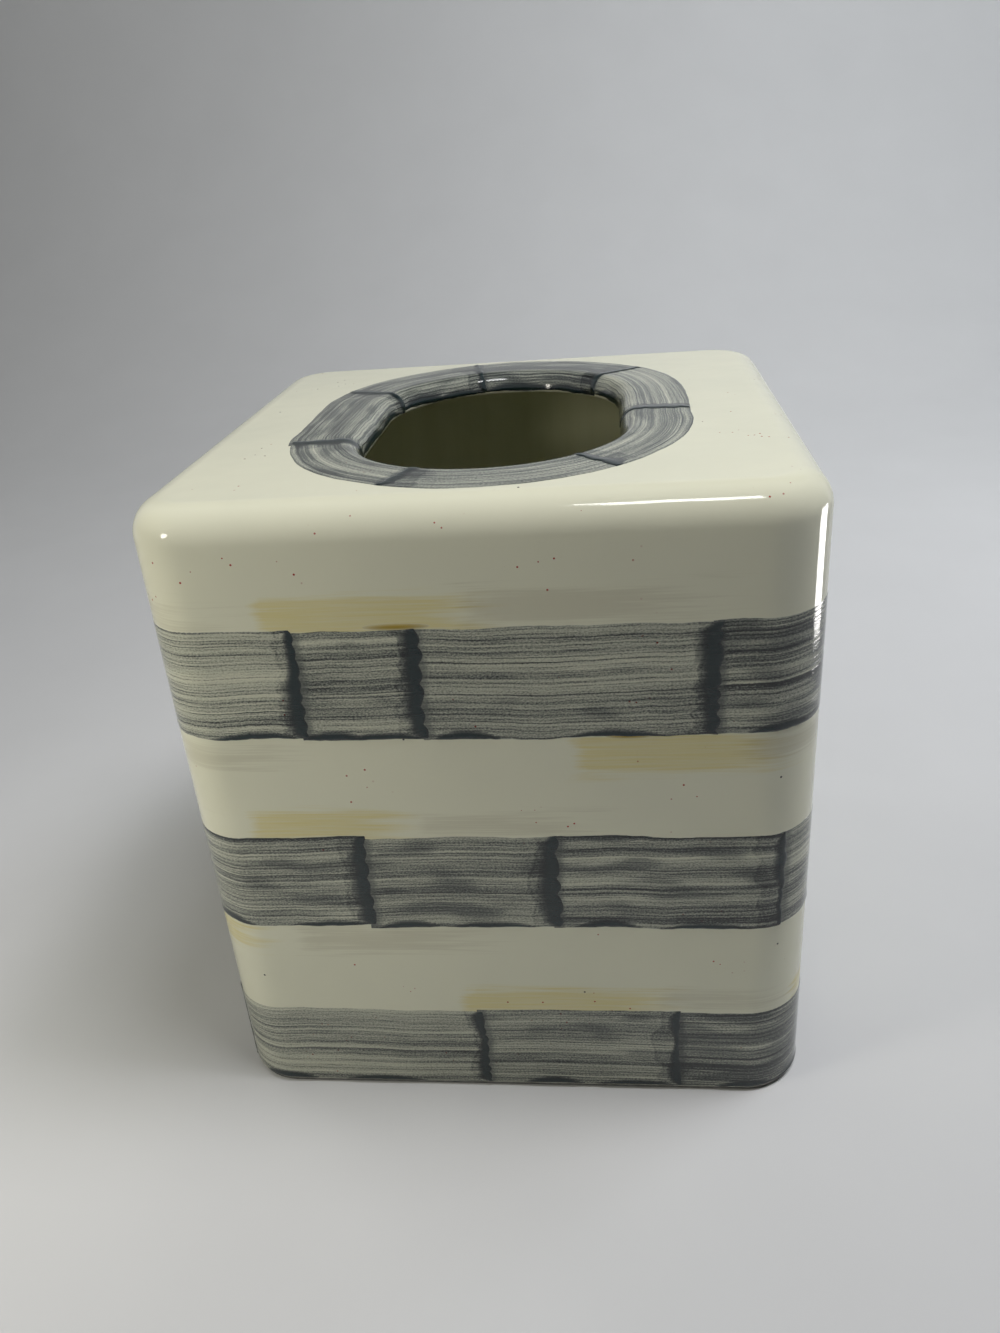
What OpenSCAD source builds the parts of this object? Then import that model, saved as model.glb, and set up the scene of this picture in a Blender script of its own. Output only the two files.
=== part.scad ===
/* [Cover] */
// Width over the enamel, side to side
cover_width = 133; // [110:1:170]
// Depth over the enamel, front to back
cover_depth = 133; // [118:1:160]
// Height from the table to the flat of the top
cover_height = 144; // [110:1:190]
// Radius of the four upright corners
corner_radius = 13.5; // [9:0.5:24]
// Radius of the rolled edge round the top
edge_radius = 7; // [4:0.5:12]

/* [Tissue opening] */
// Width of the opening between its straight sides
opening_width = 57; // [40:1:72]
// Length of the opening, front to back, over its round ends
opening_length = 86; // [60:1:100]
// Radius of the bend that turns the top down into the opening
lip_radius = 4; // [2.5:0.5:8]
// Straight part of the lip below that bend
lip_skirt = 1; // [0.6:0.1:6]

/* [Sheet steel] */
// Thickness of the sheet
steel_thickness = 1; // [0.6:0.1:2]
// Straight skirt of the top pressing below its rolled edge
skirt_depth = 5; // [2:0.5:20]
// Width of the two butt welds, which are ground flush
weld_width = 1.5; // [1:0.5:3]
// Chamfer that takes the burr off the bottom edge of the wall
edge_break = 0.2; // [0.1:0.05:0.4]

/* [Enamel] */
// Thickness of the cream enamel outside
outer_coat = 0.4; // [0.2:0.05:0.8]
// Thickness of the enamel inside
inner_coat = 0.4; // [0.2:0.05:0.8]
// Height of the bare steel edge that shows under the enamel
bare_edge = 0.9; // [0.4:0.1:3]

/* [Painted bands] */
// Thickness of a brushed glaze band over its pooled strokes, fired on top of the cream
glaze_thickness = 0.25; // [0.1:0.05:0.4]
// Gap between the band round the opening and the rolled edge
band_margin = 0.5; // [0.5:0.5:6]

/* [Hidden] */
$fn = 96;

// The side is divided into equal rows, painted and plain by turns, counted up from the table
row_count = 6;
row_height = cover_height / row_count;

// Depths of the layers, measured inwards from the outer face of the enamel
steel_face = outer_coat;
steel_back = steel_face + steel_thickness;
inner_face = steel_back + inner_coat;

// Centres of the round corners, as half distances from the middle of the cover
corner_x = cover_width / 2 - corner_radius;
corner_y = cover_depth / 2 - corner_radius;

// Heights where the rolled edge, the pressing's skirt and the wall begin and end
edge_foot = cover_height - edge_radius;
skirt_foot = edge_foot - skirt_depth;
wall_head = skirt_foot - weld_width;

// The opening: where its round ends are centred, and where its bend starts and its lip ends
opening_straight = opening_length - opening_width;
lip_start = opening_width / 2 + lip_radius;
lip_centre_z = cover_height - lip_radius;
lip_foot = lip_centre_z - lip_skirt;

// How far the lip's section runs on into the flat top, so that the two are one sheet
lip_lap = lip_radius / 4;

// The painted band fills the flat between the bend and the rolled edge at the narrow ends
opening_band_width = cover_depth / 2 - edge_radius - band_margin - opening_length / 2 - lip_radius;

// Overrun of a cut past the face that it goes through
cut_over = edge_radius;

steel_colour = [0.47, 0.48, 0.48];
weld_colour = [0.38, 0.38, 0.39];
cream_colour = [0.86, 0.85, 0.76];
inside_colour = [0.83, 0.83, 0.72];
glaze_colour = [0.55, 0.56, 0.51];

// Sweeps a wall section round the four sides and corners. The section's x runs outwards from the
// centres of the round corners, and its y is the height above the table.
module around_cover() {
  for (side = [0:3]) {
    reach = side % 2 == 0 ? corner_x : corner_y;
    half_run = side % 2 == 0 ? corner_y : corner_x;
    rotate([0, 0, 90 * side]) translate([reach, 0, 0]) {
      translate([0, half_run, 0]) rotate_extrude(angle = 90) children();
      rotate([90, 0, 0]) linear_extrude(height = 2 * half_run, center = true) children();
    }
  }
}

// Sweeps a lip section round the opening. The section's x runs outwards from the opening's long axis.
module around_opening() {
  for (end = [0:1])
    rotate([0, 0, 180 * end]) {
      translate([0, opening_straight / 2, 0]) rotate_extrude(angle = 180) children();
      rotate([90, 0, 0]) linear_extrude(height = opening_straight, center = true) children();
    }
}

// A quarter of a ring, in the quadrant where x and y are positive
module quarter_ring(outer_radius, inner_radius) {
  intersection() {
    difference() {
      circle(r = outer_radius);
      circle(r = inner_radius);
    }
    square(outer_radius);
  }
}

// Section of an upright layer that lies between two depths below the outer face
module upright_section(near, far, foot, head) {
  translate([corner_radius - far, foot]) square([far - near, head - foot]);
}

// Section of a layer over the rolled edge and the outer part of the flat top
module crest_section(near, far) {
  translate([corner_radius - edge_radius, edge_foot]) quarter_ring(edge_radius - near, edge_radius - far);
  translate([0, cover_height - far]) square([corner_radius - edge_radius, far - near]);
}

// Section of a layer that runs in from the flat top, turns down round the bend of the lip and ends in
// its straight part
module lip_section(near, far, foot) {
  translate([lip_start, cover_height - far]) square([lip_lap, far - near]);
  translate([lip_start, lip_centre_z]) mirror([1, 0]) quarter_ring(lip_radius - near, lip_radius - far);
  translate([opening_width / 2 + near, foot]) square([far - near, lip_centre_z - foot]);
}

// The top of one layer: its upright skirt, rolled edge and flat, pierced as far as the lip's bend
module pierced_top(near, far, foot) {
  difference() {
    union() {
      around_cover() {
        upright_section(near, far, foot, edge_foot);
        crest_section(near, far);
      }
      translate([-corner_x, -corner_y, cover_height - far]) cube([2 * corner_x, 2 * corner_y, far - near]);
    }
    around_opening() translate([0, cover_height - far - cut_over]) square([lip_start, far - near + 2 * cut_over]);
  }
}

// Section of the wall's sheet, with the burr taken off both sides of its bottom edge
module wall_section() {
  outside = corner_radius - steel_face;
  inside = corner_radius - steel_back;
  polygon([
    [inside + edge_break, 0], [outside - edge_break, 0], [outside, edge_break],
    [outside, wall_head], [inside, wall_head], [inside, edge_break]
  ]);
}

// The strip down the middle of the back that the upright weld fills
module weld_strip() {
  translate([-weld_width / 2, 0, 0]) cube([weld_width, cover_depth / 2, wall_head]);
}

// One sheet bent round the four corners, with its two ends meeting at the back
module side_wall() color(steel_colour) difference() {
  around_cover() wall_section();
  weld_strip();
}

// Pressing with a rolled edge, a short skirt outside and a lip turned down into the opening
module top_panel() color(steel_colour) union() {
  pierced_top(steel_face, steel_back, skirt_foot);
  around_opening() lip_section(steel_face, steel_back, lip_foot + outer_coat);
}

// Butt weld that closes the wall at the back, ground flush on both faces
module wall_weld() color(weld_colour) intersection() {
  around_cover() wall_section();
  weld_strip();
}

// Butt weld all round between the wall and the pressing, ground flush on both faces
module panel_weld() color(weld_colour)
  around_cover() upright_section(steel_face, steel_back, wall_head, skirt_foot);

// Cream enamel over the outside, wrapped under the lip and rounded off above the bare bottom edge
module outer_enamel() color(cream_colour) union() {
  pierced_top(0, steel_face, bare_edge + outer_coat);
  around_cover() translate([corner_radius - steel_face, bare_edge + outer_coat]) mirror([0, 1])
    quarter_ring(outer_coat, 0);
  around_opening() {
    lip_section(0, steel_face, lip_foot);
    translate([opening_width / 2, lip_foot]) square([inner_face, outer_coat]);
  }
}

// Enamel over the inside, from the bare bottom edge to the back of the lip
module inner_enamel() color(inside_colour) union() {
  pierced_top(steel_back, inner_face, bare_edge);
  around_opening() lip_section(steel_back, inner_face, lip_foot + outer_coat);
}

// A painted band round the side, filling one row
module side_band(row) color(glaze_colour) {
  foot = max(row * row_height, bare_edge + outer_coat);
  around_cover() upright_section(-glaze_thickness, 0, foot, (row + 1) * row_height);
}

module lower_band() side_band(0);
module middle_band() side_band(2);
module upper_band() side_band(4);

// The painted band round the opening, which runs on down over the lip
module opening_band() color(glaze_colour) around_opening() {
  lip_section(-glaze_thickness, 0, lip_foot);
  translate([lip_start, cover_height]) square([opening_band_width, glaze_thickness]);
}

side_wall();
top_panel();
wall_weld();
panel_weld();
outer_enamel();
inner_enamel();
lower_band();
middle_band();
upper_band();
opening_band();
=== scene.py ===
import math
import bpy
from mathutils import Matrix, Vector, noise


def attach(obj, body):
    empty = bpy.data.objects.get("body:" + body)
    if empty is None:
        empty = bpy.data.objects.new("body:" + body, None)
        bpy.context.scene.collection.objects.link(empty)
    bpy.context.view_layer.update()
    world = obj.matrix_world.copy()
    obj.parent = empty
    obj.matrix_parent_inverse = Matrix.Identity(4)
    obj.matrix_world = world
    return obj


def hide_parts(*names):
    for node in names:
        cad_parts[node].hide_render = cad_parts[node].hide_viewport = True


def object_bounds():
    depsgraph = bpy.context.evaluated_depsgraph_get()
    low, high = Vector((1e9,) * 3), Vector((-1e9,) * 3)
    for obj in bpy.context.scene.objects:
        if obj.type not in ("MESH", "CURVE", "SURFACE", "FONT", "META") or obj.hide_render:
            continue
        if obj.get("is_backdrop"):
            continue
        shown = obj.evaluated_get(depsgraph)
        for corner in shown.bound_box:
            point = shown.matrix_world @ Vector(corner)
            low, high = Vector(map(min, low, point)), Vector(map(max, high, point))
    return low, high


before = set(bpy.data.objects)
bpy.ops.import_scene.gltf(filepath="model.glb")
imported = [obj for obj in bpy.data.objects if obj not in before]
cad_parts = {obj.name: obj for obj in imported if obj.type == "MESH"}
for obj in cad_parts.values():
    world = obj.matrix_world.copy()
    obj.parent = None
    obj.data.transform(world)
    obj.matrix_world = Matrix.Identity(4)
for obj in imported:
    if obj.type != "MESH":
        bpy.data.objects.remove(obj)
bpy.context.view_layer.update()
MM = 0.001


# Sheet steel: the wall strip and the top pressing under the enamel. Low-carbon sheet 1 mm thick.
# Only the cut and deburred bottom edge of the wall stays bare, and it has darkened in the kiln.
def put(tree, kind, inputs=(), **settings):
    node = tree.nodes.new(kind)
    for name, value in settings.items():
        setattr(node, name, value)
    pairs = inputs.items() if isinstance(inputs, dict) else enumerate(inputs)
    for key, value in pairs:
        if isinstance(value, bpy.types.NodeSocket):
            tree.links.new(value, node.inputs[key])
        elif value is not None:
            node.inputs[key].default_value = value
    return node


def calc(tree, operation, *values):
    return put(tree, "ShaderNodeMath", values, operation=operation).outputs[0]


def stretch(tree, vector, sizes):
    """The same coordinates, counted in grains of these sizes"""
    scale = tuple(1 / size for size in sizes)
    return put(tree, "ShaderNodeVectorMath", [vector, scale], operation="MULTIPLY").outputs[0]


def shift(tree, vector, by):
    return put(tree, "ShaderNodeVectorMath", [vector, by], operation="ADD").outputs[0]


def mottle(tree, vector, detail=2.0, rough=0.5):
    inputs = {"Vector": vector, "Scale": 1.0, "Detail": detail, "Roughness": rough}
    return put(tree, "ShaderNodeTexNoise", inputs).outputs[0]


def ease(tree, value, low, high, from_value=0.0, to_value=1.0):
    inputs = [value, low, high, from_value, to_value]
    return put(tree, "ShaderNodeMapRange", inputs, interpolation_type="SMOOTHSTEP").outputs[0]


def blend(tree, how_much, one, other, way="MIX"):
    node = put(tree, "ShaderNodeMix", data_type="RGBA", blend_type=way)
    for socket, value in zip((node.inputs[0], node.inputs[6], node.inputs[7]), (how_much, one, other)):
        if isinstance(value, bpy.types.NodeSocket):
            tree.links.new(value, socket)
        else:
            socket.default_value = (*value, 1) if isinstance(value, tuple) else value
    return node.outputs[2]


def effect(name, inputs, outputs):
    """A new shader group: its tree, its input sockets by name, and its output node"""
    tree = bpy.data.node_groups.new(name, "ShaderNodeTree")
    kinds = {"value": "NodeSocketFloat", "vector": "NodeSocketVector", "colour": "NodeSocketColor"}
    for socket, kind in inputs.items():
        tree.interface.new_socket(socket, in_out="INPUT", socket_type=kinds[kind])
    for socket, kind in outputs.items():
        tree.interface.new_socket(socket, in_out="OUTPUT", socket_type=kinds[kind])
    return tree, tree.nodes.new("NodeGroupInput").outputs, tree.nodes.new("NodeGroupOutput").inputs


def use(tree, group, **inputs):
    node = put(tree, "ShaderNodeGroup", node_tree=group)
    for name, value in inputs.items():
        socket = node.inputs[name.replace("_", " ")]
        if isinstance(value, bpy.types.NodeSocket):
            tree.links.new(value, socket)
        else:
            socket.default_value = value
    return node.outputs


def finish_of(name, **constants):
    """A new material: its tree and its Principled shader with these constant values"""
    material = bpy.data.materials.new(name)
    material.use_nodes = True
    shader = material.node_tree.nodes["Principled BSDF"]
    for socket, value in constants.items():
        shader.inputs[socket.replace("_", " ")].default_value = value
    return material, material.node_tree, shader


def dress(node, material):
    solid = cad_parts[node]
    for slot in solid.material_slots:
        slot.material = material
    if not solid.material_slots:
        solid.data.materials.append(material)


scratches, given, made = effect("cut_scratches", {"Place": "vector", "Length": "value"},
                                {"Tone": "value", "Height": "value"})
lines = put(scratches, "ShaderNodeTexNoise",
            {"Vector": stretch(scratches, given["Place"], (9 * MM, 9 * MM, 0.12 * MM)),
             "Scale": given["Length"], "Detail": 3.0}).outputs[0]
scale_spots = mottle(scratches, stretch(scratches, given["Place"], (2.2 * MM,) * 3), 4)
tone = calc(scratches, "MULTIPLY_ADD", lines, 0.45, calc(scratches, "MULTIPLY", scale_spots, 0.55))
scratches.links.new(tone, made["Tone"])
scratches.links.new(lines, made["Height"])

steel, tree, shader = finish_of("bare_sheet", Metallic=1.0, Roughness=0.5)
place = put(tree, "ShaderNodeTexCoord").outputs["Object"]
cut = use(tree, scratches, Place=place, Length=1.0)
tone = ease(tree, cut["Tone"], 0.3, 0.7)
tree.links.new(blend(tree, tone, (0.10, 0.098, 0.092), (0.27, 0.265, 0.25)), shader.inputs["Base Color"])
tree.links.new(calc(tree, "MULTIPLY_ADD", tone, -0.2, 0.6), shader.inputs["Roughness"])
bump = put(tree, "ShaderNodeBump", {"Strength": 0.5, "Distance": 0.04 * MM, "Height": cut["Height"]})
tree.links.new(bump.outputs[0], shader.inputs["Normal"])
dress("side_wall", steel)
dress("top_panel", steel)


# Welds: the upright butt weld at the middle of the back and the weld all round below the rolled
# edge. Steel bead, ground flush across its length before enamelling, so it shows coarser scratches.
weld, tree, shader = finish_of("ground_weld", Metallic=1.0, Roughness=0.4)
place = put(tree, "ShaderNodeTexCoord").outputs["Object"]
cut = use(tree, scratches, Place=place, Length=2.5)
tone = ease(tree, cut["Tone"], 0.25, 0.75)
tree.links.new(blend(tree, tone, (0.07, 0.07, 0.075), (0.19, 0.185, 0.18)), shader.inputs["Base Color"])
tree.links.new(calc(tree, "MULTIPLY_ADD", tone, -0.15, 0.5), shader.inputs["Roughness"])
bump = put(tree, "ShaderNodeBump", {"Strength": 0.8, "Distance": 0.05 * MM, "Height": cut["Height"]})
tree.links.new(bump.outputs[0], shader.inputs["Normal"])
dress("wall_weld", weld)
dress("panel_weld", weld)


# Enamel inside: one coat of the same cream glass, dipped and fired, smooth and glossy, with faint
# drain marks and a few black specks. Through the opening it looks olive, lit by bounced light alone.
fired_skin, given, made = effect("fired_skin", {"Place": "vector"}, {"Height": "value", "Sheen": "value"})
swell = mottle(fired_skin, stretch(fired_skin, given["Place"], (9 * MM,) * 3), 1)
peel = mottle(fired_skin, stretch(fired_skin, given["Place"], (1.7 * MM,) * 3), 1)
fired_skin.links.new(calc(fired_skin, "MULTIPLY_ADD", peel, 0.12, swell), made["Height"])
wiped = mottle(fired_skin, stretch(fired_skin, given["Place"], (16 * MM,) * 3), 3)
fired_skin.links.new(wiped, made["Sheen"])

specks, given, made = effect("kiln_specks", {"Place": "vector", "Apart": "value", "Size": "value",
                                             "Share": "value"}, {"Mask": "value"})
grid = put(specks, "ShaderNodeVectorMath", {"Vector": given["Place"], "Scale": given["Apart"]},
           operation="SCALE")
cells = put(specks, "ShaderNodeTexVoronoi", {"Vector": grid.outputs[0], "Scale": 1.0})
dot = calc(specks, "LESS_THAN", cells.outputs["Distance"], given["Size"])
lot = put(specks, "ShaderNodeSeparateColor", [cells.outputs["Color"]]).outputs[0]
lucky = calc(specks, "LESS_THAN", lot, given["Share"])
specks.links.new(calc(specks, "MULTIPLY", dot, lucky), made["Mask"])

inside, tree, shader = finish_of("inside_enamel", Roughness=0.14, IOR=1.5)
place = put(tree, "ShaderNodeTexCoord").outputs["Object"]
drains = mottle(tree, stretch(tree, place, (5 * MM, 5 * MM, 40 * MM)), 3)
colour = blend(tree, ease(tree, drains, 0.3, 0.75), (0.66, 0.66, 0.475), (0.62, 0.62, 0.43))
fleck = use(tree, specks, Place=place, Apart=1 / (7 * MM), Size=0.045, Share=0.3)
colour = blend(tree, fleck["Mask"], colour, (0.03, 0.03, 0.03))
tree.links.new(colour, shader.inputs["Base Color"])
skin = use(tree, fired_skin, Place=place)
tree.links.new(calc(tree, "MULTIPLY_ADD", skin["Sheen"], 0.08, 0.1), shader.inputs["Roughness"])
bump = put(tree, "ShaderNodeBump", {"Strength": 1.0, "Distance": 0.05 * MM, "Height": skin["Height"]})
tree.links.new(bump.outputs[0], shader.inputs["Normal"])
dress("inner_enamel", inside)


# Cream enamel outside: glossy vitreous glass 0.4 mm thick, fired on the steel. One skin runs from
# just above the bare bottom edge, over the rolled edge and down into the opening.
HALF = 66.5            # half of the cover's width over the enamel
CORNER = 13.5          # radius of the upright corners
ROLL = 7.0             # radius of the rolled edge round the top
HEIGHT = 144.0
CORE = HALF - CORNER   # the corner centres lie this far from the middle
ROLL_FOOT = HEIGHT - ROLL
ROLL_HEAD = ROLL_FOOT + ROLL * math.pi / 2     # where the flat top begins, up the wall and over the roll
END_RADIUS = 28.5      # the opening is two straight sides between round ends
END_CENTRE = 14.5
BEND = 4.0             # radius of the lip's bend
SKIRT = 1.0            # straight part of the lip under the bend
BEND_HEAD = SKIRT + BEND * math.pi / 2         # where the flat top begins, up from the lip's foot
COAT = 0.4
BARE_EDGE = 0.9        # height of the bare steel below the coat
QUARTER = CORNER * math.pi / 2
ROUND = 8 * CORE + 4 * QUARTER                 # the whole way round the side
SIDE_STEPS, CORNER_STEPS = 48, 18


def wall_station(s):
    """Corner-centre line and outward direction, s mm round from the middle of the back, to the
    right as seen from outside"""
    s = (s + CORE) % ROUND
    turn = int(s // (2 * CORE + QUARTER))
    s -= turn * (2 * CORE + QUARTER)
    if s <= 2 * CORE:
        x, y, angle = CORE - s, CORE, math.pi / 2
    else:
        x, y, angle = -CORE, CORE, math.pi / 2 + (s - 2 * CORE) / CORNER
    c, d = math.cos(turn * math.pi / 2), math.sin(turn * math.pi / 2)
    angle += turn * math.pi / 2
    return Vector((x * c - y * d, x * d + y * c, 0)), Vector((math.cos(angle), math.sin(angle), 0))


def on_wall(s, up, proud=0.0):
    """The point s mm round and up mm up the wall and over the rolled edge, proud of the cream"""
    core, out = wall_station(s)
    if up <= ROLL_FOOT:
        return core + out * (CORNER + proud) + Vector((0, 0, up))
    tilt = min((up - ROLL_FOOT) / ROLL, math.pi / 2)
    reach = CORNER - ROLL + (ROLL + proud) * math.cos(tilt)
    return core + out * reach + Vector((0, 0, ROLL_FOOT + (ROLL + proud) * math.sin(tilt)))


def across_lip(core, out, w, proud=0.0):
    """The point w mm up from the lip's foot, over its bend and out over the flat top"""
    if w <= SKIRT:
        return core + out * (END_RADIUS - proud) + Vector((0, 0, HEIGHT - BEND - SKIRT + w))
    tilt = (w - SKIRT) / BEND
    if tilt <= math.pi / 2:
        reach = END_RADIUS + BEND - (BEND + proud) * math.cos(tilt)
        return core + out * reach + Vector((0, 0, HEIGHT - BEND + (BEND + proud) * math.sin(tilt)))
    return core + out * (END_RADIUS + BEND + w - BEND_HEAD) + Vector((0, 0, HEIGHT + proud))


def lip_station_towards(x, y):
    """The opening's centre line and outward direction where a ray to (x, y) leaves the opening"""
    ray = Vector((x, y, 0)).normalized()
    reach = END_RADIUS + BEND
    side = reach / abs(ray.x) if abs(ray.x) > 1e-6 else 1e9
    if abs(ray.y * side) <= END_CENTRE:
        return Vector((0, ray.y * side, 0)), Vector((math.copysign(1, ray.x), 0, 0))
    centre = Vector((0, math.copysign(END_CENTRE, ray.y), 0))
    along = ray.dot(centre)
    point = ray * (along + math.sqrt(along * along - centre.length_squared + reach * reach))
    return centre, (point - centre) / reach


def ramp_steps(low, high, count):
    return [low + (high - low) * i / count for i in range(count + 1)]


columns = []
for turn in range(4):
    first = turn * (2 * CORE + QUARTER) - CORE
    columns += ramp_steps(first, first + 2 * CORE, SIDE_STEPS)[:-1]
    columns += ramp_steps(first + 2 * CORE, first + 2 * CORE + QUARTER, CORNER_STEPS)[:-1]

# How finely the coat is divided: round its foot, up the wall and the roll, over the flat, down the lip
foot_turns = [share * math.pi / 2 for share in (0.0, 0.3, 0.6, 0.85)]
wall_rows = ramp_steps(BARE_EDGE + COAT, ROLL_FOOT, 60)
wall_rows += ramp_steps(ROLL_FOOT, ROLL_HEAD, 20)[1:]
flat_rows = [0.01, 0.03, 0.08, 0.16, 0.26, 0.38, 0.5, 0.62, 0.74, 0.84, 0.92, 0.97, 0.99]
lip_rows = ramp_steps(BEND_HEAD, SKIRT, 16) + [SKIRT / 2, 0.0]


def cream_column(s):
    """One upright slice of the coat: outer face up from the foot, down the lip, and back inside"""
    edge = on_wall(s, ROLL_HEAD)
    core, out = lip_station_towards(edge.x, edge.y)
    start = across_lip(core, out, lip_rows[0])
    outer = [on_wall(s, BARE_EDGE + COAT * (1 - math.cos(turn)), COAT * (math.sin(turn) - 1))
             for turn in foot_turns]
    outer += [on_wall(s, up) for up in wall_rows]
    outer += [edge.lerp(start, share) for share in flat_rows]
    outer += [across_lip(core, out, w) for w in lip_rows]
    inner = [across_lip(core, out, w, -COAT) for w in lip_rows[::-2]]
    inner += [edge.lerp(start, share) - Vector((0, 0, COAT)) for share in (0.8, 0.5, 0.2)]
    inner += [on_wall(s, up, -COAT) for up in wall_rows[::-4]]
    return outer, inner


# Thin washes of ochre and grey that the painter wiped over the cream, mostly near the edge of a row.
# Each is a stretch along the side (middle and half length) and a stretch up it, in mm.
OCHRE_WASHES = [(232, 19, 122.5, 4.4), (289, 17, 91.5, 5.0), (217, 14, 75.0, 4.4), (264, 20, 26.5, 4.6),
                (345, 18, 122.0, 4.6), (392, 15, 76.0, 4.4), (366, 16, 44.5, 4.4), (452, 20, 92.0, 4.8),
                (498, 16, 122.5, 4.2), (20, 17, 28.0, 4.6), (58, 18, 75.5, 4.2), (112, 17, 122.5, 4.6),
                (150, 18, 92.5, 4.2), (178, 15, 44.5, 4.4), (330, 12, 27.0, 3.8), (424, 14, 27.5, 4)]
GREY_WASHES = [(272, 21, 123.5, 4.6), (255, 17, 75.0, 3.6), (300, 13, 28.0, 3.4), (226, 18, 44.5, 4.6),
               (318, 14, 92.5, 3.8), (378, 20, 124.0, 4.0), (352, 16, 76.0, 3.8), (402, 18, 28.0, 3.8),
               (440, 20, 124.0, 4.6), (478, 17, 76.0, 3.6), (506, 20, 44.0, 4.0), (36, 20, 124.5, 3.8),
               (84, 18, 28.5, 4.2), (96, 20, 92.0, 4.0), (140, 16, 27.5, 3.8), (186, 14, 123.5, 3.8),
               (170, 15, 75.5, 3.4), (200, 12, 92.0, 3.6)]
# Where such an ochre wash ran down to the row below, it stands as a small amber drop: its middle, its
# height, half its length and half its width, in mm
AMBER_DROPS = [(240, 120.2, 7.0, 0.75), (283, 95.7, 5.0, 0.7), (341, 120.3, 5.2, 0.8),
               (446, 95.6, 5.6, 0.7), (54, 72.4, 4.4, 0.8), (118, 120.4, 5.4, 0.8), (14, 24.5, 4.8, 0.8)]
NO_WASH = -9.0


def wash_edge(washes, s, up):
    """How far inside the nearest wash this spot lies, in mm. Below 0 is outside them all. A wash starts
    at a clear edge and fades away where the brush ran dry."""
    best = NO_WASH
    for middle, half, height, half_height in washes:
        along = (s - middle + ROUND / 2) % ROUND - ROUND / 2
        start, fading = (half + along) * 0.7, (half + 7 - along) * 0.17
        best = max(best, min(start, fading, half_height - abs(up - height)))
    return best


def make_piece(name, points, faces, values, uvs, node, material):
    """A mesh in place of a solid, with its values at each point and its flat maps"""
    mesh = bpy.data.meshes.new(name)
    mesh.from_pydata([p * MM for p in points], [], faces)
    mesh.polygons.foreach_set("use_smooth", [True] * len(mesh.polygons))
    for title, numbers in values.items():
        mesh.attributes.new(title, "FLOAT", "POINT").data.foreach_set("value", numbers)
    for title, pairs in uvs.items():
        layer = mesh.uv_layers.new(name=title)
        flat = []
        for loop in mesh.loops:
            flat += pairs[loop.vertex_index]
        layer.data.foreach_set("uv", flat)
    mesh.materials.append(material)
    piece = bpy.data.objects.new(name, mesh)
    bpy.context.scene.collection.objects.link(piece)
    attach(piece, "root")
    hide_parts(node)


# The cream itself: its washes, its faint clouds, and the specks that the kiln left in it
glass, given, made = effect("cream_glass", {"Place": "vector", "Side": "vector", "Ochre": "value",
                                            "Grey": "value", "Amber": "value"}, {"Colour": "colour"})
clouds = mottle(glass, stretch(glass, given["Place"], (30 * MM,) * 3), 2)
colour = blend(glass, ease(glass, clouds, 0.3, 0.7), (0.70, 0.70, 0.545), (0.675, 0.677, 0.53))
hairs = mottle(glass, stretch(glass, given["Side"], (16, 0.5, 1)), 2)
wide_hairs = mottle(glass, stretch(glass, given["Side"], (26, 1.6, 1)), 2)


def frayed(wash, by_wide_hairs, by_hairs):
    """The edge of a wash, frayed this many mm by the hairs of the brush"""
    edge = calc(glass, "MULTIPLY_ADD", calc(glass, "SUBTRACT", wide_hairs, 0.5), by_wide_hairs, wash)
    return calc(glass, "MULTIPLY_ADD", calc(glass, "SUBTRACT", hairs, 0.5), by_hairs, edge)


depth = calc(glass, "MULTIPLY", ease(glass, frayed(given["Ochre"], 4.5, 2.2), -0.5, 1.9),
             ease(glass, hairs, 0.2, 0.8, 0.6, 1.0))
colour = blend(glass, depth, colour, (0.93, 0.835, 0.52), "MULTIPLY")
depth = ease(glass, frayed(given["Grey"], 6.0, 6.0), -0.2, 3.4)
colour = blend(glass, depth, colour, (0.86, 0.845, 0.83), "MULTIPLY")
crowd = mottle(glass, stretch(glass, shift(glass, given["Place"], (0.3, 0.1, 0.7)), (13 * MM,) * 3), 1)
fleck = use(glass, specks, Place=given["Place"], Apart=1 / (1.3 * MM), Size=0.17, Share=0.22)
red = calc(glass, "MULTIPLY", fleck["Mask"], ease(glass, crowd, 0.60, 0.66))
colour = blend(glass, red, colour, (0.32, 0.04, 0.02))
fleck = use(glass, specks, Place=given["Place"], Apart=1 / (8 * MM), Size=0.03, Share=0.4)
colour = blend(glass, fleck["Mask"], colour, (0.02, 0.02, 0.022))
drop = calc(glass, "POWER", given["Amber"], 0.5)
colour = blend(glass, drop, colour, (0.50, 0.35, 0.02), "MULTIPLY")
glass.links.new(colour, made["Colour"])

cream, tree, shader = finish_of("cream_enamel", Roughness=0.12, IOR=1.52)
place = put(tree, "ShaderNodeTexCoord").outputs["Object"]
side = put(tree, "ShaderNodeUVMap", uv_map="side").outputs[0]
ochre = put(tree, "ShaderNodeAttribute", attribute_name="ochre").outputs["Fac"]
grey = put(tree, "ShaderNodeAttribute", attribute_name="grey").outputs["Fac"]
amber = put(tree, "ShaderNodeAttribute", attribute_name="amber").outputs["Fac"]
seen = use(tree, glass, Place=place, Side=side, Ochre=ochre, Grey=grey, Amber=amber)
tree.links.new(seen["Colour"], shader.inputs["Base Color"])
skin = use(tree, fired_skin, Place=place)
tree.links.new(calc(tree, "MULTIPLY_ADD", skin["Sheen"], 0.06, 0.03), shader.inputs["Roughness"])
bump = put(tree, "ShaderNodeBump", {"Strength": 1.0, "Distance": 0.06 * MM, "Height": skin["Height"]})
tree.links.new(bump.outputs[0], shader.inputs["Normal"])

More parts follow.
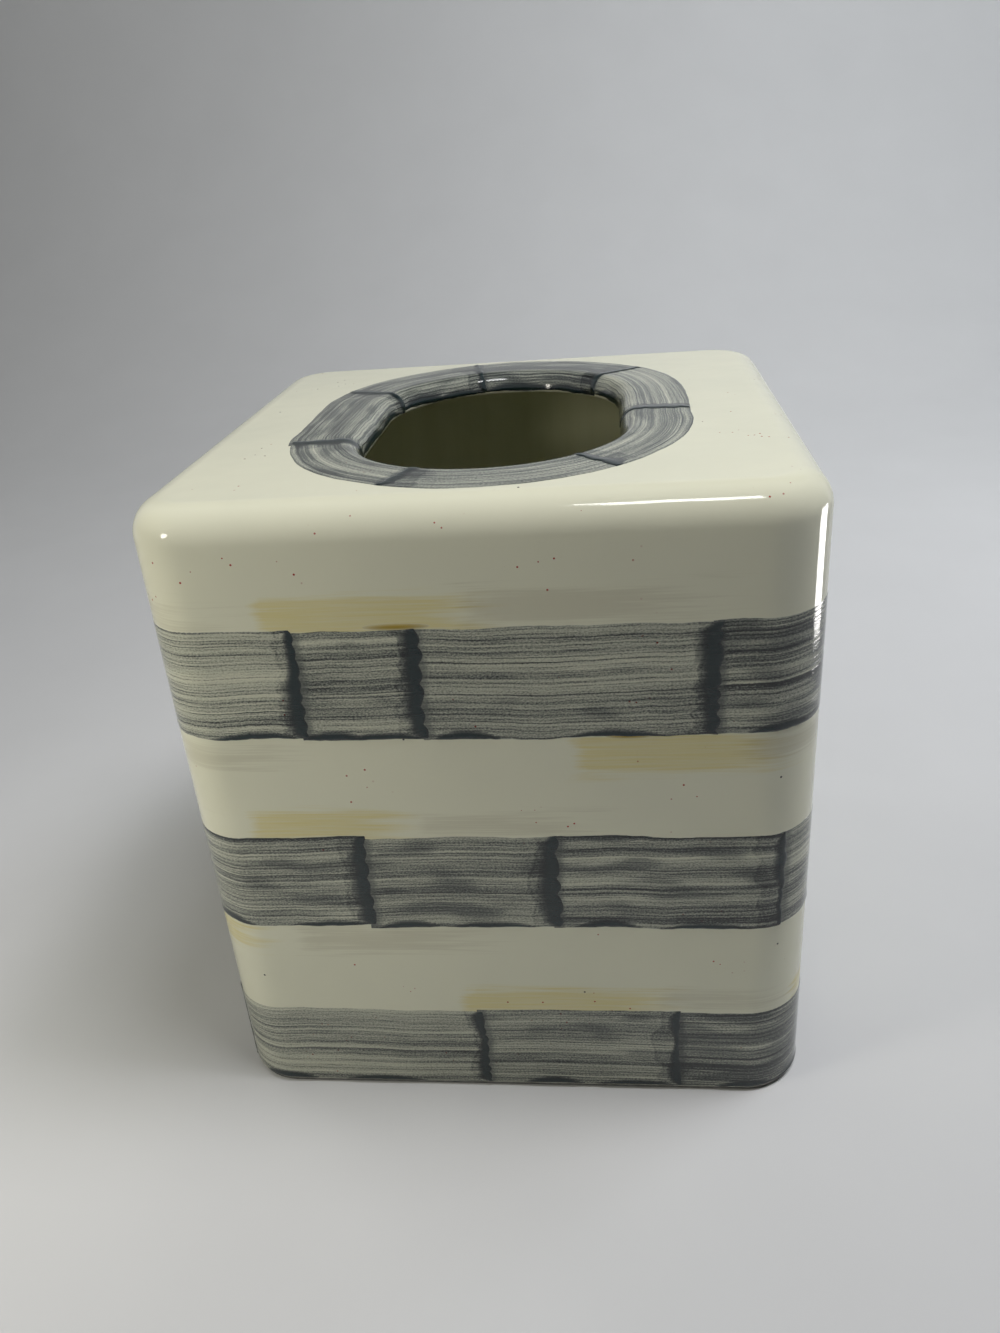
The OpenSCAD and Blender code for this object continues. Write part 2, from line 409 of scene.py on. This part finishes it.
# The washes lie on the side alone. The rest has a place of its own in the map, away from the side's.
side_count = len(foot_turns) + len(wall_rows)
points, faces, ochre, grey, side = [], [], [], [], []
for s in columns:
    outer, inner = cream_column(s)
    for row, point in enumerate(outer + inner):
        points.append(point)
        on_side = row < side_count
        ochre.append(wash_edge(OCHRE_WASHES, s, point.z) if on_side else NO_WASH)
        grey.append(wash_edge(GREY_WASHES, s, point.z) if on_side else NO_WASH)
        side.append((s, point.z) if on_side else (point.y + 700, point.x + 300))
rows = len(points) // len(columns)
for i in range(len(columns)):
    left, right = i * rows, (i + 1) % len(columns) * rows
    for j in range(rows):
        k = (j + 1) % rows
        faces.append((left + j, right + j, right + k, left + k))

# Each drop is a lens: a crown that rises from the coat over a flat underside in it. Both are rings
# round a middle point.
DROP_RINGS, DROP_SIDES = (0.4, 0.7, 0.9, 1.0), 16
DROP_RISE = 0.16       # height of the crown over its rim
DROP_RIM = 0.02        # depth of the rim in the coat
DROP_UNDERSIDE = 0.08
crown = 1 + len(DROP_RINGS) * DROP_SIDES
amber = [0.0] * len(points)
for middle, height, half, half_width in AMBER_DROPS:
    first = len(points)
    for under in (False, True):
        for r in (0.0, *DROP_RINGS):
            for angle in ([0.0] if r == 0 else ramp_steps(0, 15 * math.pi / 8, DROP_SIDES - 1)):
                s, up = middle + half * r * math.cos(angle), height + half_width * r * math.sin(angle)
                proud = -DROP_UNDERSIDE if under else DROP_RISE * (1 - r * r) - DROP_RIM
                points.append(on_wall(s, up, proud))
                amber.append(1 - r * r)
                side.append((s, up))
    ochre += [NO_WASH] * (len(points) - first)
    grey += [NO_WASH] * (len(points) - first)
    for step in range(DROP_SIDES):
        turn = (step + 1) % DROP_SIDES
        for tip, one, two in ((first, step, turn), (first + crown, turn, step)):
            faces.append((tip, tip + 1 + one, tip + 1 + two))
            for near in range(tip + 1, tip + crown - DROP_SIDES, DROP_SIDES):
                far = near + DROP_SIDES
                faces.append((near + one, far + one, far + two, near + two))
        rim = first + crown - DROP_SIDES
        faces.append((rim + step, rim + crown + step, rim + crown + turn, rim + turn))
make_piece("cream_enamel_coat", points, faces, {"ochre": ochre, "grey": grey, "amber": amber},
           {"side": side}, "outer_enamel", cream)


# Brushed bands: translucent grey glaze laid on the cream with a flat brush in overlapping strokes,
# then fired again. It is thin with fine streaks, and it pools blue-black where a stroke ends.

# How each line of a stroke wanders: its place in the noise, and its waves' lengths and heights in mm
WAVES = {"lean": (0, [(31, 0.5)]),
         "foot": (11, [(13, 0.45), (4, 0.22), (1.3, 0.1)]),
         "head": (23, [(15, 0.4), (4.5, 0.2), (1.2, 0.09)]),
         "start": (31, [(9, 0.9), (2.6, 0.3)]),
         "end": (43, [(12, 1.1), (2.3, 0.25)]),
         "pool": (57, [(9, 2.0), (2.6, 0.6)]),
         "lap": (77, [(10, 2.2), (3.3, 1.3), (0.9, 0.5)]),
         "load": (3, [(24, 1.0)])}


def waver(line, where, seed):
    """How far the brush has wandered here, in mm: a sum of slow waves"""
    own, waves = WAVES[line]
    return sum(height * noise.noise(Vector((where / length, (seed + own) * 7.31, length)))
               for length, height in waves)


def smooth(x):
    x = min(max(x, 0.0), 1.0)
    return x * x * (3 - 2 * x)


def lobes(where, seed, length):
    """Round lobes side by side, 0 to 1, as where glaze gathers in drops"""
    turn = where / length + 0.8 * noise.noise(Vector((where / 8, seed, 3.3)))
    return abs(math.sin(math.pi * turn)) ** 0.8


# A stroke is divided finely near its edge, where it rounds down and pools, and evenly in the middle
EDGE_STEPS = [0, 0.1, 0.22, 0.38, 0.6, 0.9, 1.3, 1.75, 2.25, 2.8, 3.4]
ALONG_STEP, ACROSS_STEP = 1.1, 0.56


def brush_steps(length, middle_step):
    """The lines that divide a stroke of this length, or across its width"""
    inner = length - 2 * EDGE_STEPS[-1]
    count = max(1, round(inner / middle_step))
    middle = [EDGE_STEPS[-1] + inner * i / count for i in range(1, count)]
    return EDGE_STEPS + middle + [length - step for step in reversed(EDGE_STEPS)]


def bead(x):
    """The section of a pooled edge: steep outside, a rounded crest, and a long soft inner side"""
    crest = 0.3
    if x <= 0 or x >= 1:
        return 0.0
    if x < crest:
        return math.sin(x / crest * math.pi / 2)
    return math.cos((x - crest) / (1 - crest) * math.pi / 2) ** 2


GLAZE_RISE = 0.045     # thickness of the thinnest glaze over the cream
LOAD_RISE = 0.015      # more where the brush was full
POOL_RISE = 0.17       # and more where it pools
EDGE_DIP = 0.07        # a stroke's edge dips this deep into the cream
EDGE_ROUND = 0.38      # and rounds down over this width
UNDERSIDE = 0.12       # its underside lies this deep in the cream
GLAZE_VALUES = ("pool", "load", "even", "rim", "lap")


class Glaze:
    """The strokes of one band, gathered into one mesh"""
    def __init__(self, place):
        self.place = place
        self.points, self.faces, self.stroke_map = [], [], []
        self.values = {title: [] for title in GLAZE_VALUES}

    def stroke(self, start, length, low, high, seed, lenses, ragged=1.0, pooled=1.0, calm=0.0):
        """One stroke of this length, between two heights. Each lens is a place where glaze has sunk to
        the foot: its middle and half length along the stroke, and its depth."""
        width = high - low
        along_steps, across_steps = brush_steps(length, ALONG_STEP), brush_steps(width, ACROSS_STEP)
        tilt = 0.7 * noise.noise(Vector((seed * 3.7, 0.5, 0.1)))
        weight = noise.noise(Vector((seed * 5.3, 2.5, 6.1)))
        heavy = smooth(0.55 + 1.2 * noise.noise(Vector((seed * 2.9, 7.5, 1.1))))
        top, under = [], []
        for a in along_steps:
            for c in across_steps:
                to_end, to_head = length - a, width - c

                # Where this spot lies once all four borders have wandered
                lean = tilt * (a / length - 0.5) + waver("lean", start + a, seed)
                foot = low + ragged * (lean + waver("foot", start + a, seed))
                head = high + lean + waver("head", start + a, seed)
                begin = waver("start", c, seed)
                drops = (0.35 + 0.65 * heavy) * lobes(c, seed, 4.4 + 2.0 * weight)
                finish = 1.1 * drops - 0.5 + waver("end", c, seed)
                across = foot + (head - foot) * c / width
                along = start + begin + (length + finish - begin) * (a / length)

                # How deep it has pooled at the stroke's end and along its foot
                end_width = 1.8 + 1.7 * heavy + 1.3 * drops + waver("pool", c, seed)
                end_width = max(end_width * pooled, 1.2) * (0.5 + 0.5 * smooth(min(c, to_head) / 2.0))
                pool = bead(to_end / end_width) * smooth(c / 0.4) * smooth(to_head / 0.4)
                for middle, half, deep in lenses:
                    reach = 1 - ((a - middle) / half) ** 2
                    if reach > 0:
                        pool = max(pool, bead(c / (deep * reach + 1e-6)) * math.sqrt(reach))

                # How much glaze the brush left and how evenly, its dark rim, and the next stroke's lap
                fresh = smooth(1 - (a - 1.6) / 1.6)
                smudge = noise.noise(Vector((a / 11 + seed, c / 3.6, seed * 1.9))) + 0.8 * weight
                smudge = smooth(smudge * 2.0 - 0.3)
                load = 0.97 + 0.25 * fresh + 0.3 * weight + 0.2 * waver("load", a, seed) + 0.55 * smudge
                even = max(fresh, 0.55 * smudge, calm)
                rim = max(math.exp(-c / 0.28) * 0.8, math.exp(-to_head / 0.25) * 0.6, math.exp(-a / 0.3))
                lap = 5.5 + 2.5 * weight + waver("lap", c, seed) - to_end

                rise = GLAZE_RISE + LOAD_RISE * load + POOL_RISE * pool
                border = min(to_end, a, c, to_head)
                rise = (rise + EDGE_DIP) * min(1.0, math.sqrt(border / EDGE_ROUND)) - EDGE_DIP
                top.append(self.place(along, across, rise))
                under.append(self.place(along, across, -UNDERSIDE))
                self.stroke_map.append((a + seed * 83.0, c + seed * 57.0))
                for title, value in zip(GLAZE_VALUES, (pool, load, even, rim, lap)):
                    self.values[title].append(value)
        self.close(top, under, len(along_steps), len(across_steps))

    def close(self, top, under, wide, tall):
        """Joins a stroke's top, its underside and the border between them into one closed skin"""
        base, count = len(self.points), len(top)
        self.points += top + under
        for title in GLAZE_VALUES:
            self.values[title] += self.values[title][-count:]
        self.stroke_map += self.stroke_map[-count:]
        for i in range(wide - 1):
            for j in range(tall - 1):
                a, b = base + i * tall + j, base + (i + 1) * tall + j
                self.faces.append((a, b, b + 1, a + 1))
                self.faces.append((a + count + 1, b + count + 1, b + count, a + count))
        border = [i * tall for i in range(wide)]
        border += [(wide - 1) * tall + j for j in range(1, tall)]
        border += [i * tall + tall - 1 for i in range(wide - 2, -1, -1)]
        border += list(range(tall - 2, 0, -1))
        for one, two in zip(border, border[1:] + border[:1]):
            self.faces.append((base + two, base + one, base + one + count, base + two + count))


# How a brush leaves glaze: long hair lines side by side, slow swells and a salt-and-pepper grain
streaks, given, made = effect("hair_streaks", {"Stroke": "vector"},
                              {"Lines": "value", "Grain": "value"})
drift = mottle(streaks, stretch(streaks, given["Stroke"], (55, 40, 1)), 1)
sway = put(streaks, "ShaderNodeCombineXYZ", {"Y": calc(streaks, "MULTIPLY_ADD", drift, 3.0, -1.5)})
wavy = shift(streaks, given["Stroke"], sway.outputs[0])
# Sets of hair lines: where each is taken from, their length and width in mm, fineness and weight
HAIR_LINES = [((0, 0, 0), (300, 0.55, 1), 1, 6.75), ((40, 7, 0), (220, 1.5, 1), 0, 4.0),
              ((90, 3, 0), (60, 4.5, 1), 0, 3.0), ((11, 31, 0), (9, 0.3, 1), 1, 4.0)]
total = 0.0
for offset, hair, detail, weight in HAIR_LINES:
    lines = mottle(streaks, stretch(streaks, shift(streaks, wavy, offset), hair), detail)
    total = calc(streaks, "MULTIPLY_ADD", calc(streaks, "SUBTRACT", lines, 0.5), weight, total)
# Single hairs that left a heavy line or a bare one
for offset, weight in (((5, 63, 0), 1.9), ((7, 89, 0), -1.3)):
    lines = mottle(streaks, stretch(streaks, shift(streaks, wavy, offset), (150, 0.34, 1)), 0)
    total = calc(streaks, "MULTIPLY_ADD", ease(streaks, lines, 0.62, 0.72), weight, total)
streaks.links.new(total, made["Lines"])
salt = mottle(streaks, stretch(streaks, given["Stroke"], (0.46, 0.3, 1)), 1, 0.6)
streaks.links.new(calc(streaks, "MULTIPLY_ADD", salt, 6.0, -3.0), made["Grain"])

# What the eye sees through the glaze: the cream, darkened by the depth of grey glass over it
veil, given, made = effect("through_glaze", {"Cream": "colour", "Depth": "value", "Cobalt": "value"},
                           {"Colour": "colour"})
dips = []
for strength in (1.0, 0.95, 0.885):
    blue = calc(veil, "MULTIPLY_ADD", given["Cobalt"], (strength - 1.06) * 1.1, strength)
    thickness = calc(veil, "MULTIPLY", given["Depth"], blue)
    dips.append(calc(veil, "EXPONENT", calc(veil, "MULTIPLY", thickness, -1.0)))
dimmed = put(veil, "ShaderNodeCombineColor", dips).outputs[0]
veil.links.new(blend(veil, 1.0, given["Cream"], dimmed, "MULTIPLY"), made["Colour"])

glaze, tree, shader = finish_of("grey_brushed_glaze", Roughness=0.12, IOR=1.55)
place = put(tree, "ShaderNodeTexCoord").outputs["Object"]
stroke_map = put(tree, "ShaderNodeUVMap", uv_map="stroke").outputs[0]
pool, load, even, rim, lap = (put(tree, "ShaderNodeAttribute", attribute_name=title).outputs["Fac"]
                              for title in GLAZE_VALUES)
below = use(tree, glass, Place=place, Side=stroke_map, Ochre=NO_WASH, Grey=NO_WASH)
brushed = use(tree, streaks, Stroke=stroke_map)
loose = calc(tree, "MULTIPLY_ADD", even, -0.7, 1.0)
film = calc(tree, "MULTIPLY_ADD", brushed["Lines"], 0.47, calc(tree, "MULTIPLY", brushed["Grain"], 0.48))
film = calc(tree, "MULTIPLY_ADD", film, loose, calc(tree, "MULTIPLY", even, 0.3))
film = calc(tree, "MULTIPLY", calc(tree, "EXPONENT", film), load)
twice = ease(tree, lap, -0.25, 0.25, 1.0, 1.4)
lap_line = calc(tree, "SUBTRACT", 1.0, ease(tree, calc(tree, "ABSOLUTE", lap), 0.1, 0.5))
film = calc(tree, "MULTIPLY", film, calc(tree, "MULTIPLY_ADD", lap_line, 0.3, twice))
ink = calc(tree, "MULTIPLY", calc(tree, "POWER", pool, 0.5), 3.2)
depth = calc(tree, "ADD", film, calc(tree, "MULTIPLY_ADD", rim, 0.7, ink))
blots = mottle(tree, stretch(tree, place, (13 * MM,) * 3), 1)
cobalt = calc(tree, "MULTIPLY", ease(tree, blots, 0.56, 0.68), pool)
seen = use(tree, veil, Cream=below["Colour"], Depth=depth, Cobalt=cobalt)
thick = calc(tree, "MULTIPLY", ease(tree, pool, 0.1, 0.9), 0.8)
slate = blend(tree, thick, seen["Colour"], (0.010, 0.024, 0.026))
tree.links.new(slate, shader.inputs["Base Color"])
skin = use(tree, fired_skin, Place=place)
tree.links.new(calc(tree, "MULTIPLY_ADD", skin["Sheen"], 0.06, 0.03), shader.inputs["Roughness"])
ridges = calc(tree, "MULTIPLY_ADD", calc(tree, "MULTIPLY", film, loose), 0.08, skin["Height"])
bump = put(tree, "ShaderNodeBump", {"Strength": 1.0, "Distance": 0.06 * MM, "Height": ridges})
tree.links.new(bump.outputs[0], shader.inputs["Normal"])

# Six equal rows go up the side, painted and plain by turns
ROW = HEIGHT / 6
LOWEST = 1.16          # where the lowest strokes begin, on the rounded foot of the coat
STROKES = 11
OVERLAP = 1.5          # how far each stroke runs on over the start of the next


def stroke_starts(first, around, count, uneven, seed):
    """Where a band's strokes start, a little unevenly, and where the first one comes round again"""
    starts = [first + (k + uneven * noise.noise(Vector((seed[0], k * 1.7, seed[1])))) * around / count
              for k in range(count)]
    return starts + [starts[0] + around]


for node, row, first in (("lower_band", 0, 14.0), ("middle_band", 2, 41.0), ("upper_band", 4, 25.0)):
    low, high = max(row * ROW, LOWEST), (row + 1) * ROW
    ragged = 0.06 if row == 0 else 1.0
    band = Glaze(on_wall)
    starts = stroke_starts(first, ROUND, STROKES, 0.5, (first, 0.3))
    for k in range(STROKES):
        seed = first + k * 1.37
        jump = 0.9 * noise.noise(Vector((k * 2.3, first, 0.7)))
        length = starts[k + 1] - starts[k] + OVERLAP
        lenses = [(length * 0.25 + 14 * noise.noise(Vector((seed, 1.1, 2.2))), 7.0, 2.3),
                  (length * 0.7 + 14 * noise.noise(Vector((seed, 4.1, 2.2))), 10.0, 1.6)]
        band.stroke(starts[k], length, low + jump * ragged, high + jump * 0.8, seed, lenses, ragged)
    make_piece(node.replace("_", "_brushed_"), band.points, band.faces, band.values,
               {"stroke": band.stroke_map}, node, glaze)


# Band round the opening: the same grey glaze, brushed round the opening on the flat top and down
# over the lip, where it has run and pooled along the lip's foot.
RING_LINE = END_RADIUS + BEND + 6.0    # radius, at the round ends, of the line that it is measured on
RING_ROUND = 2 * math.pi * RING_LINE + 4 * END_CENTRE
RING_FOOT = 0.35
RING_HEAD = BEND_HEAD + 11.6
RING_STROKES = 7
RING_OVERLAP = 2.2


def on_opening(t, w, proud=0.0):
    """The point t mm round the opening, clockwise from above, and w mm up and out from the lip's foot"""
    t %= RING_ROUND
    half = math.pi * RING_LINE
    if t < 2 * END_CENTRE:
        return across_lip(Vector((0, END_CENTRE - t, 0)), Vector((1, 0, 0)), w, proud)
    t -= 2 * END_CENTRE
    end = -END_CENTRE
    angle = -t / RING_LINE
    if t >= half:
        t -= half
        if t < 2 * END_CENTRE:
            return across_lip(Vector((0, t - END_CENTRE, 0)), Vector((-1, 0, 0)), w, proud)
        end = END_CENTRE
        angle = math.pi - (t - 2 * END_CENTRE) / RING_LINE
    return across_lip(Vector((0, end, 0)), Vector((math.cos(angle), math.sin(angle), 0)), w, proud)


ring = Glaze(on_opening)
starts = stroke_starts(17, RING_ROUND, RING_STROKES, 0.2, (3.3, 0.9))
for k in range(RING_STROKES):
    seed = 71 + k * 1.37
    length = starts[k + 1] - starts[k] + RING_OVERLAP
    lenses = [(length * 0.3, 13.0, 2.6), (length * 0.72, 11.0, 2.0)]
    head = RING_HEAD + 0.7 * noise.noise(Vector((k * 2.3, 8.8, 0.7)))
    ring.stroke(starts[k], length, RING_FOOT, head, seed, lenses, pooled=1.25, calm=0.4)
make_piece("opening_brushed_band", ring.points, ring.faces, ring.values, {"stroke": ring.stroke_map},
           "opening_band", glaze)


# Studio: the cover stands on a sweep of pale paper, seen from the photograph's own place. Soft lamps
# that don't show in the gloss light the paper and the cover, and three more give its highlights.
COOL, WARM = (0.96, 0.98, 1.0), (1.0, 0.96, 0.84)


def shown_only(tree, strength):
    """This strength for the eye and for what the gloss mirrors, and none for lighting anything"""
    ray = put(tree, "ShaderNodeLightPath").outputs
    seen = calc(tree, "MAXIMUM", ray["Is Camera Ray"], ray["Is Glossy Ray"])
    return calc(tree, "MULTIPLY", seen, strength)


paper, tree, shader = finish_of("pale_paper", Roughness=0.8, Specular_IOR_Level=0.0)
place = put(tree, "ShaderNodeTexCoord").outputs["Object"]
fibre = mottle(tree, stretch(tree, place, (0.05,) * 3), 3)
tree.links.new(blend(tree, fibre, (0.60, 0.61, 0.615), (0.565, 0.575, 0.58)), shader.inputs["Base Color"])
# Beside and behind what the photograph shows, the paper and the air beyond it look evenly pale
VIEW_HALF, VIEW_SPREAD = 0.186, 0.62
spot = put(tree, "ShaderNodeSeparateXYZ", [place]).outputs
view_edge = calc(tree, "MULTIPLY_ADD", spot["Y"], VIEW_SPREAD, VIEW_HALF)
beside = calc(tree, "SUBTRACT", calc(tree, "ABSOLUTE", spot["X"]), view_edge)
away = put(tree, "ShaderNodeVectorMath", [place], operation="LENGTH").outputs["Value"]
pale = calc(tree, "MULTIPLY", ease(tree, away, 0.2, 1.0), ease(tree, beside, 0.0, 0.3))
shader.inputs["Emission Color"].default_value = (*COOL, 1)
tree.links.new(shown_only(tree, calc(tree, "MULTIPLY", pale, 0.46)), shader.inputs["Emission Strength"])

FLOOR_END = 0.45       # where the paper starts to curve up behind the cover
SWEEP = 0.45           # radius of that curve
profile = [(y, 0.0) for y in (-1.6, -0.6, -0.2, 0.2, FLOOR_END)]
profile += [(FLOOR_END + SWEEP * math.sin(turn), SWEEP - SWEEP * math.cos(turn))
            for turn in ramp_steps(0.1, math.pi / 2, 14)]
profile += [(FLOOR_END + SWEEP, 0.8), (FLOOR_END + SWEEP, 1.6)]
points = [(x, y, z) for x in (-2.2, 2.2) for y, z in profile]
count = len(profile)
mesh = bpy.data.meshes.new("paper_sweep")
mesh.from_pydata(points, [], [(i, i + count, i + count + 1, i + 1) for i in range(count - 1)])
mesh.polygons.foreach_set("use_smooth", [True] * len(mesh.polygons))
mesh.materials.append(paper)
sweep = bpy.data.objects.new("paper_sweep", mesh)
bpy.context.scene.collection.objects.link(sweep)
sweep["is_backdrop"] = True


def lamp(name, at, aim, size, watts, colour=(1, 1, 1), glossy=True, diffuse=True):
    """A disk this wide, or a card of this width and height"""
    light = bpy.data.lights.new(name, "AREA")
    light.shape = "RECTANGLE" if isinstance(size, tuple) else "DISK"
    light.size, light.size_y = size if isinstance(size, tuple) else (size, size)
    light.energy, light.color = watts, colour
    holder = bpy.data.objects.new(name, light)
    look = (Vector(aim) - Vector(at)).to_track_quat("-Z", "Y").to_matrix().to_4x4()
    holder.matrix_world = Matrix.Translation(Vector(at)) @ look
    holder.visible_camera, holder.visible_glossy, holder.visible_diffuse = False, glossy, diffuse
    bpy.context.scene.collection.objects.link(holder)


middle = (0, 0, 0.1)
lamp("window", (0.5, 0.0, 1.05), middle, 0.34, 4.3, (1.0, 0.97, 1.0), glossy=False)
lamp("room_above", (0.12, -0.09, 0.62), middle, 0.2, 1.4, glossy=False)
lamp("paper_left", (-0.45, 0.25, 0.8), (-0.5, 0.75, 0.0), 0.3, 1.1, (1.0, 0.99, 0.93), glossy=False)
lamp("paper_back", (0.15, 0.42, 0.55), (0.35, 0.85, 0.08), 0.4, 0.9, COOL, glossy=False)
lamp("paper_right", (0.6, 0.3, 0.75), (0.45, 0.6, 0.0), 0.4, 1.7, (0.90, 0.96, 1.0), glossy=False)
lamp("room_left", (-0.17, -0.13, 0.10), middle, 0.08, 0.065, WARM, glossy=False)
lamp("room_left_high", (-0.20, -0.17, 0.25), middle, 0.06, 0.09, WARM, glossy=False)
lamp("room_right", (0.42, 0.22, 0.26), (0.07, 0.0, 0.05), 0.12, 0.18, COOL, glossy=False)
# Highlights: a dot on the left shoulder, a streak down the right corner, and one along the front crest
lamp("left_glint", (-0.22, -0.20, 0.205), middle, 0.046, 0.085, (1.0, 0.94, 0.84))
lamp("table_right", (0.297, 0.036, 0.012), (0.06, -0.05, 0.05), (0.085, 0.2), 0.6, (1.0, 0.98, 0.95),
     diffuse=False)
lamp("ceiling", (0.103, -0.42, 1.10), middle, (0.22, 0.14), 1.5, diffuse=False)

world = bpy.data.worlds.new("studio_air")
bpy.context.scene.world = world
world.use_nodes = True
air = world.node_tree
air.nodes["Background"].inputs["Color"].default_value = (*COOL, 1)
air.links.new(shown_only(air, 0.47), air.nodes["Background"].inputs["Strength"])

# The camera's lens, place, turn, tilt and roll are fitted to the corners and edges of the cover
camera = bpy.data.objects.new("camera", bpy.data.cameras.new("camera"))
camera.data.lens, camera.data.sensor_width = 28.31, 36.0
camera.data.clip_start, camera.data.clip_end = 0.01, 20.0
turn, tilt, roll = (Matrix.Rotation(math.radians(angle), 4, axis)
                    for angle, axis in ((7.37, "Z"), (63.4, "X"), (-4.7, "Z")))
camera.matrix_world = Matrix.Translation((0.02733, -0.24224, 0.20008)) @ turn @ tilt @ roll
bpy.context.scene.collection.objects.link(camera)
bpy.context.scene.camera = camera
bpy.context.scene.view_settings.view_transform = "Standard"

low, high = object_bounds()
